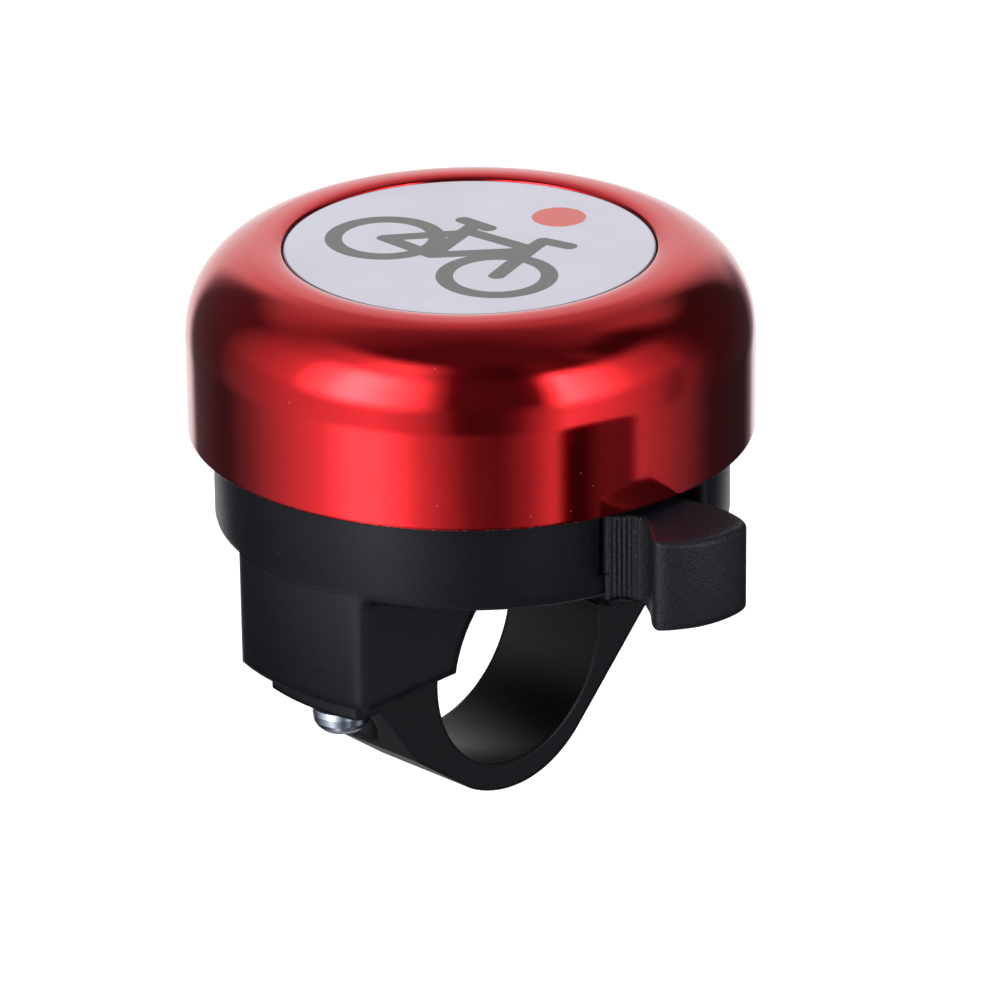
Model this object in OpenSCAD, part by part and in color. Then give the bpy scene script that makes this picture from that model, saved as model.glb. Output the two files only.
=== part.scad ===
// Bicycle bell with a spinning striker, for a round handlebar.
// Origin: centre of the handlebar bore, straight under the bell's axis.
// +X runs along the handlebar towards the thumb lever, +Z up the bell's axis,
// -Y is the side with the clamp screw. Millimetres.

/* [Node] */
// Which sub-part to draw

/* [Handlebar clamp] */
// Diameter of the handlebar the clamp closes on
bar_d = 22.2; // [21.6:0.1:22.6]
// Radial clearance between handlebar and clamp
bar_gap = 0.1; // [0.05:0.05:0.15]
// Width of the clamp strap along the handlebar
strap_w = 12; // [10:0.5:12]
// Width of the two blocks under the housing
block_w = 16.5; // [16:0.5:18]
// Diameter of the clamp screw's thread
clamp_screw_d = 3; // [2.6:0.1:3]
// Radial running clearance of threads and pivots
run_gap = 0.05; // [0.02:0.01:0.08]

/* [Bell dome] */
// Outside diameter of the dome
dome_d = 54; // [53.6:0.2:55]
// Sheet thickness of the dome
dome_t = 1; // [0.8:0.1:1.1]
// Height of the dome from rim to shoulder top
dome_h = 18.25; // [18.25:0.25:19]
// Diameter of the label and its recess
label_d = 35.28; // [33:0.5:36]
// Squareness of the dome's shoulder, 2 is a true ellipse
shoulder_n = 2.2; // [2:0.1:2.4]

/* [Housing] */
// Outside diameter of the housing
base_d = 49.2; // [49:0.2:49.8]
// Wall thickness of the housing
base_t = 2; // [1.8:0.1:2.2]

/* [Gear train] */
// Play between meshing teeth, at the pitch circle
backlash = 0.12; // [0.1:0.01:0.16]

/* [Striker] */
// Outside diameter of each loose striker ring
ring_d = 13; // [12:0.5:13]
// Distance of the striker pins from the bell's axis
pin_orbit = 17.6; // [17:0.1:17.6]

/* [Hidden] */
$fn = 96;
overlap = 0.01;               // makes touching volumes join
bore_r = bar_d/2 + bar_gap;

// dome and label
rim_z = 22.5;
dome_top = rim_z + dome_h;
dome_r = dome_d/2;
dome_ri = dome_r - dome_t;
label_r = label_d/2;
shoulder_w = dome_r - label_r;
shoulder_h = 9.25;
label_t = 0.5;
label_top = dome_top - 0.6;
recess_z = label_top - label_t;
dimple_z = recess_z - 0.7;    // sunken centre that the bush is riveted to
bush_hole_r = 3.5;
bush_z = 30.5;

// housing
base_r = base_d/2;
base_ri = base_r - base_t;
base_z = 13.25;               // underside of the floor
floor_z = base_z + 2;         // top of the floor
wall_z = 24;
screw_block_z = 2.2;          // undersides of the two blocks
hinge_block_z = 1.6;
slot_from = -17.5;            // lever slot, as angles about the bell's axis
slot_to = 16.5;
slot_z = 15.55;
seat_z = 15.7;                // raised seats under the lever and the idler

// gear train: the lever's sector drives the idler, the idler drives the rotor
gear_m = 0.6;                 // tooth module
pressure_angle = 25;
lever_teeth = 40;             // full circle, only a sector is moulded
idler_small_teeth = 10;
idler_big_teeth = 28;
rotor_teeth = 13;
lever_at = [9, 3.5];
lever_dist = norm(lever_at);
lever_to_idler = gear_m*(lever_teeth + idler_small_teeth)/2;
idler_to_rotor = gear_m*(idler_big_teeth + rotor_teeth)/2;
// direction of the idler from the bell's axis, by the cosine rule
idler_az = atan2(lever_at[1], lever_at[0])
    - acos((pow(idler_to_rotor, 2) + pow(lever_dist, 2) - pow(lever_to_idler, 2))
        /(2*idler_to_rotor*lever_dist));
idler_at = [idler_to_rotor*cos(idler_az), idler_to_rotor*sin(idler_az)];
lever_idler_az = atan2(idler_at[1] - lever_at[1], idler_at[0] - lever_at[0]);
idler_rotor_az = atan2(-idler_at[1], -idler_at[0]);
// heights of the two gear layers
low_gear_z = 15.75;
low_gear_top = 18.25;
high_gear_z = 18.75;
high_gear_top = 21.25;
idler_pin_r = 1.25;
idler_groove_r = 0.9;

// thumb lever
stem_az = -26.57;             // rest direction of the stem
stem_hw = 2;                  // half width of the stem
stem_len = 17.4;
tab_z = 13;
tab_top = 21.7;
lever_boss_r = 2.4;
lever_boss_top = 21.05;
lever_hub_r = 3.2;
lever_screw_r = 1.25;
lever_washer_top = 21.45;

// centre post
post_r = 2;
post_flange_top = 18.4;
post_neck_top = 28.4;         // the dome's thread starts here
post_top = 37.8;
post_groove_r = 1.5;
post_nut_z = 11.45;
post_nut_top = 13.65;

// striker
rotor_top = 24.6;
plate_t = 1;
plate_arm_hw = 3.6;
spigot_r = 3.4;
spigot_flats = 5.4;           // across the flats
ring_r = ring_d/2;
ring_hole_r = 3.2;
ring_z = 25.7;
ring_top = ring_z + 2;
ring_pin_r = 1.5;

// clamp
hinge_y = 18.6;
hinge_z = 5.2;
hinge_r = 1.2;
hook_r = 2.9;
screw_y = -18.1;
screw_r = clamp_screw_d/2;
ear_z = 0.1;
ear_top = 2.1;
ear_r = 22.5;                 // curved end of the ear, about the bell's axis
ear_corner_r = 1;
slot_shift = 0.4;             // length added to the ear's screw hole
washer_top = 0.07;            // plain washer under the ear
washer_z = washer_top - 0.5;
washer_r = 3.1;
lock_z = washer_z - 0.6;
head_top = lock_z - 0.02;
head_z = head_top - 2.6;
head_r = 2.8;
nut_z = 6.4;
strap_top = 1.4;
strap_flat = 18.7;            // y - z of the slanted flank on the hinge side
hinge_arc_r = 11.75;          // bottom arc on the hinge side
hinge_arc_z = -2.1;
screw_arc_r = 13.85;          // bottom arc on the screw side, about the bore

// colours
dome_red = [0.72, 0.04, 0.05];
label_silver = [0.82, 0.82, 0.86];
bush_steel = [0.75, 0.75, 0.77];
moulded_black = [0.11, 0.11, 0.12];
lever_black = [0.10, 0.10, 0.11];
gear_white = [0.88, 0.88, 0.84];
pin_steel = [0.7, 0.7, 0.72];
washer_steel = [0.72, 0.72, 0.74];
nut_steel = [0.66, 0.66, 0.68];
clip_steel = [0.35, 0.35, 0.37];
plate_steel = [0.74, 0.74, 0.76];
ring_steel = [0.62, 0.63, 0.66];
screw_steel = [0.68, 0.7, 0.74];
clamp_washer_steel = [0.7, 0.7, 0.73];
lock_steel = [0.6, 0.6, 0.63];

// ---------- helpers ----------
function polar(radius, angle) = [radius*cos(angle), radius*sin(angle)];
function unit(v) = v/norm(v);

module at(place) translate([place[0], place[1], 0]) children();
module at_screw() translate([0, screw_y, 0]) children();
module disc(radius, low, high) translate([0, 0, low]) cylinder(r = radius, h = high - low);
module slab(low, high) translate([0, 0, low]) linear_extrude(high - low) children();
module along_x(radius, from, to)
    translate([from, 0, 0]) rotate([0, 90, 0]) cylinder(r = radius, h = to - from);

module tube(outer_r, inner_r, low, high) difference() {
    disc(outer_r, low, high);
    disc(inner_r, low - 1, high + 1);
}

// Hexagonal prism, sized across its flats
module hex(flats, low, high)
    translate([0, 0, low]) cylinder(r = flats/2/cos(30), h = high - low, $fn = 6);

// Pie slice between two angles
module slice2d(radius, from, to) {
    steps = ceil((to - from)/15);
    polygon(concat([[0, 0]],
        [for (i = [0:steps]) polar(radius, from + (to - from)*i/steps)]));
}

// Involute function, in degrees
function involute(angle) = tan(angle)*180/PI - angle;

// Half the angle a tooth spans at a radius; tooth_w is its width on the pitch circle
function half_tooth(radius, pitch_r, involute_r, tooth_w) =
    tooth_w/2/pitch_r*180/PI + involute(acos(involute_r/pitch_r))
    - involute(acos(min(1, involute_r/radius)));

// Spur gear outline with stub teeth, one tooth centred on +X
module gear2d(teeth) {
    pitch_r = teeth*gear_m/2;
    involute_r = pitch_r*cos(pressure_angle);
    tip_r = pitch_r + 0.8*gear_m;
    root_r = pitch_r - 1.05*gear_m;
    start_r = max(involute_r, root_r);
    tooth_w = PI*gear_m/2 - backlash;
    steps = 5;
    // one flank from root to tip, as [radius, half angle]
    flank_r = [for (i = [0:steps]) start_r + (tip_r - start_r)*i/steps];
    flank = concat(
        root_r < involute_r
            ? [[root_r, half_tooth(start_r, pitch_r, involute_r, tooth_w)]] : [],
        [for (radius = flank_r) [radius, half_tooth(radius, pitch_r, involute_r, tooth_w)]]);
    tooth = concat([for (p = flank) [p[0], -p[1]]],
        [for (i = [len(flank)-1:-1:0]) flank[i]]);
    polygon([for (t = [0:teeth-1]) for (p = tooth) polar(p[0], t*360/teeth + p[1])]);
}

// Threaded shank with its crests at the given radius and shallow grooves
module thread(radius, low, high, pitch) {
    turns = floor((high - low - 0.4)/pitch);
    // one groove: radial offset, height in pitches
    groove = [[0, 0.1], [-0.22, 0.45], [-0.22, 0.55], [0, 0.9]];
    rotate_extrude() polygon(concat(
        [[0, low], [radius - 0.25, low], [radius, low + 0.25]],
        [for (i = [0:turns-1]) for (p = groove)
            [radius + p[0], low + 0.25 + (i + p[1])*pitch]],
        [[radius, high], [0, high]]));
}

// Retaining clip: open ring with three inner lobes that sit in a groove
module clip(outer_r, groove_r, low, height) slab(low, low + height) difference() {
    union() {
        difference() {
            circle(outer_r);
            circle(outer_r - 0.9);
        }
        for (a = [90, 210, 330]) rotate(a)
            translate([groove_r, -0.55]) square([outer_r - groove_r - 0.3, 1.1]);
    }
    circle(groove_r + 0.02);
    // opening towards -Y
    rotate(-90) translate([0, -groove_r*0.92]) square([outer_r + 1, groove_r*1.84]);
}

// Cutter for a cross-shaped screwdriver recess
module cross_recess(low, width) for (a = [0, 90]) rotate(a)
    translate([-width/2, -0.32, low]) cube([width, 0.64, 4]);

// Wire bent along a path of points, as a closed tube
module wire(path, radius, sides) {
    count = len(path);
    tangents = [for (i = [0:count-1]) unit(path[min(i + 1, count - 1)] - path[max(i - 1, 0)])];
    skin = [for (i = [0:count-1])
        let (across = unit(cross(tangents[i], [0, 0, 1])), up = cross(across, tangents[i]))
        for (j = [0:sides-1])
            path[i] + radius*cos(j*360/sides)*across + radius*sin(j*360/sides)*up];
    polyhedron(skin, concat(
        [[for (j = [0:sides-1]) j]],
        [for (i = [0:count-2]) for (j = [0:sides-1])
            [i*sides + j, (i + 1)*sides + j,
             (i + 1)*sides + (j + 1)%sides, i*sides + (j + 1)%sides]],
        [[for (j = [sides-1:-1:0]) (count - 1)*sides + j]]));
}

// ---------- dome ----------
// Superellipse shoulder from the wall up to the label, offset inwards by inset
function shoulder(inset) = [for (t = [0:4.5:90])
    [label_r + (shoulder_w - inset)*pow(cos(t), 2/shoulder_n),
     dome_top - shoulder_h + (shoulder_h - inset)*pow(sin(t), 2/shoulder_n)]];

module bell_dome() color(dome_red) {
    outside = shoulder(0);
    inside = shoulder(dome_t);
    rotate_extrude($fn = 180) polygon(concat(
        [[bush_hole_r, dimple_z], [5.6, dimple_z], [6.3, recess_z], [label_r + 0.05, recess_z],
         [label_r + 0.05, dome_top - 0.3], [label_r + 0.35, dome_top]],
        [for (i = [len(outside)-2:-1:0]) outside[i]],
        [[dome_r, rim_z + 0.35], [dome_r - 0.3, rim_z],
         [dome_ri + 0.3, rim_z], [dome_ri, rim_z + 0.3]],
        [for (i = [0:len(inside)-3]) inside[i]],
        [[label_r + 0.1, recess_z - dome_t], [6.6, recess_z - dome_t],
         [5.9, dimple_z - dome_t], [bush_hole_r, dimple_z - dome_t]]));
}

module label_disc() color(label_silver)
    rotate_extrude($fn = 180) polygon([[0, recess_z], [label_r, recess_z],
        [label_r, label_top - 0.15], [label_r - 0.15, label_top], [0, label_top]]);

module dome_bush() color(bush_steel) difference() {
    rotate_extrude() polygon([[0, bush_z], [4.6, bush_z], [5, bush_z + 0.4],
        [5, dimple_z - dome_t], [bush_hole_r, dimple_z - dome_t], [bush_hole_r, dimple_z],
        [4.9, dimple_z], [4.7, dimple_z + 0.55], [0, dimple_z + 0.55]]);
    disc(post_r, bush_z - 1, 38.4);
}

// ---------- housing ----------
// Block under the housing; side is -1 for the screw side, 1 for the hinge side
module block(side, low) intersection() {
    rotate_extrude($fn = 180) polygon([[0, low], [base_r - 0.5, low],
        [base_r - 0.15, low + 0.15], [base_r, low + 0.5],
        [base_r, base_z + 0.5], [0, base_z + 0.5]]);
    translate([-block_w/2, side > 0 ? 0 : -base_r - 1, low])
        cube([block_w, base_r + 1, base_z + 0.5 - low]);
}

module housing_cup() rotate_extrude($fn = 180) polygon([
    [0, base_z], [base_r - 0.8, base_z], [base_r - 0.42, base_z + 0.1],
    [base_r - 0.1, base_z + 0.42], [base_r, base_z + 0.8],
    [base_r, wall_z - 0.3], [base_r - 0.3, wall_z], [base_ri + 0.3, wall_z],
    [base_ri, wall_z - 0.3], [base_ri, floor_z + 0.4], [base_ri - 0.4, floor_z], [0, floor_z]]);

module base_housing() color(moulded_black) difference() {
    union() {
        housing_cup();
        block(-1, screw_block_z);
        block(1, hinge_block_z);
        // lever boss and its seat, idler seat, spring anchor
        at(lever_at) {
            disc(3.4, floor_z - overlap, seat_z);
            disc(lever_boss_r, floor_z - overlap, lever_boss_top);
        }
        at(idler_at) disc(2.2, floor_z - overlap, seat_z);
        at(lever_at + polar(10.2, 36.2)) disc(0.9, floor_z - overlap, 20.9);
        // stiffening ribs inside the cup
        for (a = [100, 140, 180, 220]) rotate(a)
            translate([18.6, -0.5, floor_z - overlap]) cube([4.4, 1, 3.2]);
    }
    along_x(bore_r, -30, 30);
    // lever slot
    slab(slot_z, slot_z + 20) difference() {
        slice2d(base_r + 4, slot_from, slot_to);
        circle(base_ri - 1.5);
    }
    // centre post and its nut
    disc(post_r + 0.05, 0, 30);
    hex(7.1, 5, post_nut_top);
    at(lever_at) disc(lever_screw_r, 14.2, 30);
    at(idler_at) disc(idler_pin_r, 10, 30);
    // clamp screw and nut
    at_screw() {
        disc(screw_r + 0.2, 0, 20);
        hex(5.6, nut_z, 20);
    }
    // hinge pocket, crossed by the hinge bar
    difference() {
        translate([-strap_w/2 - 0.2, hinge_y - 3.2, 0])
            cube([strap_w + 0.4, 6.4, hinge_z + hook_r + 0.3]);
        translate([0, hinge_y, hinge_z]) along_x(hinge_r, -strap_w, strap_w);
    }
    // drain holes in the floor
    for (a = [150, 210]) at(polar(14.5, a)) rotate(a) disc(1, 5, 20);
}

// ---------- centre post ----------
module centre_post() color(pin_steel) difference() {
    union() {
        thread(post_r, post_nut_z, floor_z + overlap, 0.7);
        disc(2.75, floor_z, post_flange_top);
        disc(post_r, floor_z, post_neck_top);
        thread(post_r, post_neck_top - overlap, post_top, 0.7);
    }
    // clip groove
    tube(3, post_groove_r, 26, 26.45);
    // screwdriver slot in the top end
    translate([-3, -0.35, post_top - 0.9]) cube([6, 0.7, 3]);
}

module post_nut() color(nut_steel) difference() {
    hex(7, post_nut_z, post_nut_top);
    disc(post_r, 10, 15);
}

module rotor_washers() color(washer_steel) {
    tube(3.3, post_r + run_gap, post_flange_top, post_flange_top + 0.3);
    tube(3.3, post_r + run_gap, 25.65, 25.97);
}

module rotor_clip() color(clip_steel) clip(3.4, post_groove_r, 26.02, 0.4);

// ---------- rotor and striker ----------
// Round spigot with two flats that turns the striker plate
module spigot2d() intersection() {
    circle(spigot_r);
    square([2*spigot_r + 1, spigot_flats], center = true);
}

module rotor_gear() color(gear_white) difference() {
    union() {
        slab(high_gear_z, high_gear_top + overlap)
            rotate(idler_az + 180/rotor_teeth) gear2d(rotor_teeth);
        disc(4.5, high_gear_top, rotor_top);
        slab(rotor_top - overlap, rotor_top + plate_t) spigot2d();
    }
    disc(post_r + run_gap, 10, 30);
}

module striker_plate() color(plate_steel) slab(rotor_top, rotor_top + plate_t) difference() {
    union() {
        circle(6.2);
        translate([-plate_arm_hw, -pin_orbit]) square([2*plate_arm_hw, 2*pin_orbit]);
        for (s = [-1, 1]) translate([0, s*pin_orbit]) circle(plate_arm_hw);
    }
    spigot2d();
    for (s = [-1, 1]) {
        translate([0, s*pin_orbit]) circle(ring_pin_r);
        translate([0, s*10.5]) circle(1.6);
    }
}

module striker_pins() color(pin_steel) for (s = [-1, 1]) translate([0, s*pin_orbit, 0])
    rotate_extrude() polygon([[0, 24.3], [2, 24.3], [2.2, 24.45], [2.2, rotor_top],
        [ring_pin_r, rotor_top], [ring_pin_r, 28], [3.9, 28], [4, 28.15],
        [3.6, 28.6], [2.4, 28.9], [0, 29]]);

// Loose ring on the pin at +Y (side 1) or -Y (side -1)
module striker_ring(side) translate([0, side*pin_orbit, 0]) rotate_extrude() polygon([
    [ring_hole_r, ring_z + 0.3], [ring_hole_r + 0.3, ring_z],
    [ring_r - 0.5, ring_z], [ring_r - 0.15, ring_z + 0.15], [ring_r, ring_z + 0.5],
    [ring_r, ring_top - 0.5], [ring_r - 0.15, ring_top - 0.15], [ring_r - 0.5, ring_top],
    [ring_hole_r + 0.3, ring_top], [ring_hole_r, ring_top - 0.3]]);

module striker_ring_a() color(ring_steel) striker_ring(1);
module striker_ring_b() color(ring_steel) striker_ring(-1);

// ---------- idler ----------
module idler_gear() color(gear_white) at(idler_at) difference() {
    union() {
        slab(low_gear_z, low_gear_top + overlap)
            rotate(lever_idler_az + 180 + 180/idler_small_teeth) gear2d(idler_small_teeth);
        disc(2.9, low_gear_top, high_gear_z + overlap);
        // big gear with a ring-shaped recess in its top
        difference() {
            slab(high_gear_z, high_gear_top) rotate(idler_rotor_az) gear2d(idler_big_teeth);
            tube(6.9, 3.4, high_gear_z + 1.4, high_gear_top + 1);
        }
        disc(2.6, high_gear_top - overlap, 21.75);
    }
    disc(idler_pin_r + run_gap, 10, 30);
}

module idler_pin() color(washer_steel) at(idler_at) difference() {
    rotate_extrude() polygon([[0, 10], [idler_pin_r - 0.2, 10], [idler_pin_r, 10.3],
        [idler_pin_r, 22.6], [idler_pin_r - 0.2, 22.9], [0, 22.9]]);
    tube(2, idler_groove_r, 21.82, 22.22);
}

module idler_clip() color(clip_steel) at(idler_at) clip(2.5, idler_groove_r, 21.85, 0.35);

// ---------- thumb lever ----------
// Plan outline of the thumb tab, as [x, y]: the hollow ribbed side towards -Y
tab_face = [
    [22.3, -6.62], [23.3, -6.74], [23.9, -6.62], [24.4, -6.27], [24.9, -5.8],
    [25.4, -5.4], [25.9, -5.16], [26.4, -5.08], [26.9, -5.17], [27.65, -5.56],
    [28.4, -6.08], [29.05, -6.61], [29.7, -7.17], [30.3, -7.75], [30.75, -8.15]];
// then round the outer end and back along the +Y side
tab_back = [
    [31.2, -8.42], [31.65, -8.5], [32.1, -8.36], [32.65, -7.98], [33.2, -7.4],
    [33.8, -6.55], [34.4, -5.5], [34.75, -4.6], [35.0, -3.7], [35.15, -2.65],
    [35.2, -1.6], [35.12, -0.6], [34.8, 0.3], [34.25, 0.82], [33.4, 1.18],
    [32.4, 1.42], [31.35, 1.62], [30.3, 1.7], [29.2, 1.55], [28.2, 1.3],
    [26.9, 1.1], [22.3, 1.0]];
// Side profile of the tab, as [x, z], rounded at the outer end
tab_side = [
    [20, tab_z], [29, tab_z], [31.5, tab_z - 0.25], [33.8, tab_z - 0.2],
    [34.6, tab_z + 0.15], [35.1, tab_z + 0.8], [35.25, tab_z + 1.6],
    [35.25, tab_top - 1.5], [35.1, tab_top - 0.75], [34.6, tab_top - 0.2],
    [33.8, tab_top], [20, tab_top]];

module tab2d() {
    polygon(concat(tab_face, tab_back));
    // fine grip ribs on the hollow side
    for (i = [0:10]) let (x = 23.95 + 0.47*i)
        translate([x, lookup(x, tab_face) - 0.02]) circle(r = 0.13, $fn = 16);
}

module tab() intersection() {
    union() {
        // outside the housing wall, full height
        difference() {
            slab(tab_z - 0.3, tab_top) tab2d();
            disc(base_r + 0.3, 0, 40);
        }
        // root of the tab, passing through the slot
        slab(slot_z + 0.12, tab_top) intersection() {
            tab2d();
            translate([20, -10]) square([6, 8.5]);
        }
    }
    translate([0, 20, 0]) rotate([90, 0, 0]) linear_extrude(60) polygon(tab_side);
}

module thumb_lever() color(lever_black) difference() {
    union() {
        tab();
        at(lever_at) {
            // flat of the lever: hub, stem and toothed sector
            slab(low_gear_z, low_gear_top) {
                circle(3.5);
                rotate(stem_az) translate([0, -stem_hw]) square([stem_len, 2*stem_hw]);
                intersection() {
                    rotate(lever_idler_az) gear2d(lever_teeth);
                    slice2d(20, lever_idler_az - 34.5, lever_idler_az + 7.5);
                }
            }
            // taller part of the stem, and the peg the spring pushes
            rotate(stem_az) {
                translate([stem_len - 4.8, -stem_hw, low_gear_z + 0.5])
                    cube([4.8, 2*stem_hw, tab_top - low_gear_z - 0.5]);
                translate([9, -0.6, low_gear_top - 0.5]) cylinder(r = 0.8, h = 3.2);
            }
            disc(lever_hub_r, low_gear_z + 0.5, 21);
        }
    }
    at(lever_at) disc(lever_boss_r + run_gap, 10, 30);
    // lightening hole in the sector
    at(lever_at + polar(7.4, lever_idler_az - 13)) disc(1.7, 10, 20);
}

// Torsion spring, both legs leaving the coil along its tangent
module lever_spring() color(pin_steel) {
    coil_r = 4.12;
    turns = 2.785;
    steps = ceil(turns*28);
    from = -37.34;
    to = from - 360*turns;
    low = 18.95;
    high = 20.6;
    low_end = polar(coil_r, from) + polar(10.8, from + 90);
    high_end = polar(coil_r, to) + polar(9.8, to - 90);
    at(lever_at) wire(concat(
        [[low_end[0], low_end[1], low]],
        [for (i = [0:steps]) let (a = from + (to - from)*i/steps)
            [coil_r*cos(a), coil_r*sin(a), low + (high - low)*i/steps]],
        [[high_end[0], high_end[1], high]]), radius = 0.3, sides = 10);
}

module lever_washer() color(washer_steel) at(lever_at)
    tube(3.7, 1.3, lever_boss_top, lever_washer_top);

module lever_screw() color(pin_steel) at(lever_at) difference() {
    union() {
        thread(lever_screw_r, 14.5, lever_washer_top + overlap, 0.6);
        rotate_extrude() polygon([[0, lever_washer_top], [2.4, lever_washer_top],
            [2.5, 21.6], [2.4, 22.5], [1.9, 23.1], [1.2, 23.35], [0, 23.4]]);
    }
    cross_recess(22.3, 2.8);
}

// ---------- clamp ----------
// Strap section across the handlebar, drawn as [y, z]
module strap2d() difference() {
    union() {
        // hinge side: bottom arc and slanted flank
        intersection() {
            union() {
                translate([0, hinge_arc_z]) circle(hinge_arc_r);
                translate([-1, hinge_arc_z - hinge_arc_r*sin(45)]) square([32, 20]);
            }
            polygon([[0, strap_top], [hinge_y + 1.25, strap_top], [hinge_y + 1.25, hinge_z],
                [hinge_y + hook_r, hinge_z], [hinge_y + hook_r, hinge_y + hook_r - strap_flat],
                [0, -strap_flat]]);
        }
        // screw side: bottom arc, thicker flank and the ear
        intersection() {
            union() {
                circle(screw_arc_r);
                translate([-30, -11]) square([30, 14]);
            }
            polygon([[-18.8, ear_z], [-24, ear_z], [-24, ear_top], [0, ear_top],
                [0, -17.04], [-13.95, -6.85]]);
        }
        // hook over the hinge bar
        translate([hinge_y, hinge_z]) intersection() {
            circle(hook_r);
            slice2d(6, -8, 205);
        }
    }
    circle(bore_r);
    translate([hinge_y, hinge_z]) circle(hinge_r + run_gap);
}

module clamp_strap() color(moulded_black) difference() {
    hole_r = screw_r + 0.25;
    corner_x = strap_w/2 - ear_corner_r;
    corner_y = ear_corner_r - sqrt(pow(ear_r, 2) - pow(corner_x, 2));
    intersection() {
        translate([-strap_w/2, 0, 0]) rotate([90, 0, 90]) linear_extrude(strap_w) strap2d();
        disc(ear_r, -30, 30);
    }
    // screw hole, slightly long so the ear can swing
    for (y = [screw_y - slot_shift, screw_y + 0.05]) translate([0, y, 0]) disc(hole_r, -10, 10);
    translate([-hole_r, screw_y - slot_shift, -10]) cube([2*hole_r, slot_shift + 0.05, 20]);
    // spot face for the washer and the screw head
    at_screw() disc(washer_r + 0.4, -20, ear_z);
    // rounded corners of the ear
    for (s = [-1, 1]) translate([s*corner_x, corner_y, 0]) difference() {
        translate([s > 0 ? 0 : -2, -3, -1]) cube([2, 3, 5]);
        disc(ear_corner_r, -2, 6);
    }
}

module clamp_screw() color(screw_steel) at_screw() difference() {
    union() {
        thread(screw_r, head_top - 0.1, head_top + 12, 0.5);
        rotate_extrude() polygon([[0, head_z - 0.03], [1.2, head_z + 0.02],
            [2.0, head_z + 0.25], [2.5, head_z + 0.75], [2.72, head_z + 1.2],
            [head_r, head_top - 0.7], [head_r, head_top - 0.1],
            [head_r - 0.1, head_top], [0, head_top]]);
    }
    cross_recess(head_z + 1.3 - 4, 3.2);
}

module clamp_washer() color(clamp_washer_steel) at_screw()
    tube(washer_r, screw_r + run_gap, washer_z, washer_top);

module lock_washer() color(lock_steel) at_screw() difference() {
    tube(2.6, screw_r + run_gap, lock_z, washer_z);
    // the split in the ring
    rotate(200) translate([0, -0.25, washer_top - 3]) cube([4, 0.5, 4]);
}

module clamp_nut() color(nut_steel) at_screw() difference() {
    hex(5.5, nut_z, nut_z + 2.4);
    disc(screw_r + run_gap, 0, 20);
}

bell_dome();
label_disc();
dome_bush();
base_housing();
centre_post();
post_nut();
rotor_washers();
rotor_clip();
rotor_gear();
striker_plate();
striker_pins();
striker_ring_a();
striker_ring_b();
idler_gear();
idler_pin();
idler_clip();
thumb_lever();
lever_spring();
lever_washer();
lever_screw();
clamp_strap();
clamp_screw();
clamp_washer();
lock_washer();
clamp_nut();
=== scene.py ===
# A bicycle bell: a red turned dome with a printed disc let into its top, over a black housing.
# The dome's axis is Z and its open rim faces down. The thumb lever's tab reaches out towards +X.
# Blender lengths are metres. Shapes and textures here are in millimetres unless noted.
import bpy
import bmesh
import math
from mathutils import Vector, Matrix

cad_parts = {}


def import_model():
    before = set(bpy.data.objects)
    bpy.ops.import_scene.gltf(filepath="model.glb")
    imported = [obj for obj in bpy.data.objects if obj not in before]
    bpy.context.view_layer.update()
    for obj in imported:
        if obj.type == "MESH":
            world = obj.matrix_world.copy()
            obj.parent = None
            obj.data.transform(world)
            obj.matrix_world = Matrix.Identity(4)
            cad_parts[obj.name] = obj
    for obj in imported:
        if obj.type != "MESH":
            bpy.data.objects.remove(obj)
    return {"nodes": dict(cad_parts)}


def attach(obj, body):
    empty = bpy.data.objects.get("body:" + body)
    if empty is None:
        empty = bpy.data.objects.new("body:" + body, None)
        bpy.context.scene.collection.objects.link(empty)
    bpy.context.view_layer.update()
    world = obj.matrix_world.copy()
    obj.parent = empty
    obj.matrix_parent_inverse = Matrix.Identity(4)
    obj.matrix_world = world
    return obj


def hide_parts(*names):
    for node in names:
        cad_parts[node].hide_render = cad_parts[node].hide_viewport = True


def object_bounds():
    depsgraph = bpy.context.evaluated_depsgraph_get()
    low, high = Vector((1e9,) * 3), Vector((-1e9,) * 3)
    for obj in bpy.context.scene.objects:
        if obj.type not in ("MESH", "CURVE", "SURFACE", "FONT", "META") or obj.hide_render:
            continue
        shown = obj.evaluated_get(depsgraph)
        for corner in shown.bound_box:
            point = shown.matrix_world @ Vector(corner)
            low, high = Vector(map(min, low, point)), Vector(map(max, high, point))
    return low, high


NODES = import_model()["nodes"]
cad_low, cad_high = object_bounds()
MM = 0.001

# ------------------------------------------------------------------ sizes
RIM_Z = 22.5            # bottom edge of the dome
DOME_R = 27.0
DOME_H = 18.25
DOME_WALL = 1.0
RECESS_R = 17.64        # recess in the dome's top that holds the disc
SHOULDER_H = 9.25
SHOULDER_POWER = 2.2    # superellipse exponent
SHOULDER_Z = RIM_Z + DOME_H - SHOULDER_H
LABEL_TOP = RIM_Z + DOME_H - 0.6
RECESS_Z = LABEL_TOP - 0.5
DIMPLE_Z = RECESS_Z - 0.7
LABEL_R = RECESS_R - 0.06

# ------------------------------------------------------------------ view
AZIMUTH = math.radians(44.0)
ELEVATION = math.radians(23.1)
ROLL = math.radians(0.58)
cos_az, sin_az = math.cos(AZIMUTH), math.sin(AZIMUTH)
cos_el, sin_el = math.cos(ELEVATION), math.sin(ELEVATION)
LEVEL_RIGHT = Vector((cos_az, sin_az, 0))
TO_CAMERA = Vector((sin_az, -cos_az, 0))    # level, from the bell
FORWARD = Vector((-sin_az * cos_el, cos_az * cos_el, -sin_el))
level_up = Vector((-sin_az * sin_el, cos_az * sin_el, cos_el))
RIGHT = math.cos(ROLL) * LEVEL_RIGHT - math.sin(ROLL) * level_up
UP = math.sin(ROLL) * LEVEL_RIGHT + math.cos(ROLL) * level_up


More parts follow.
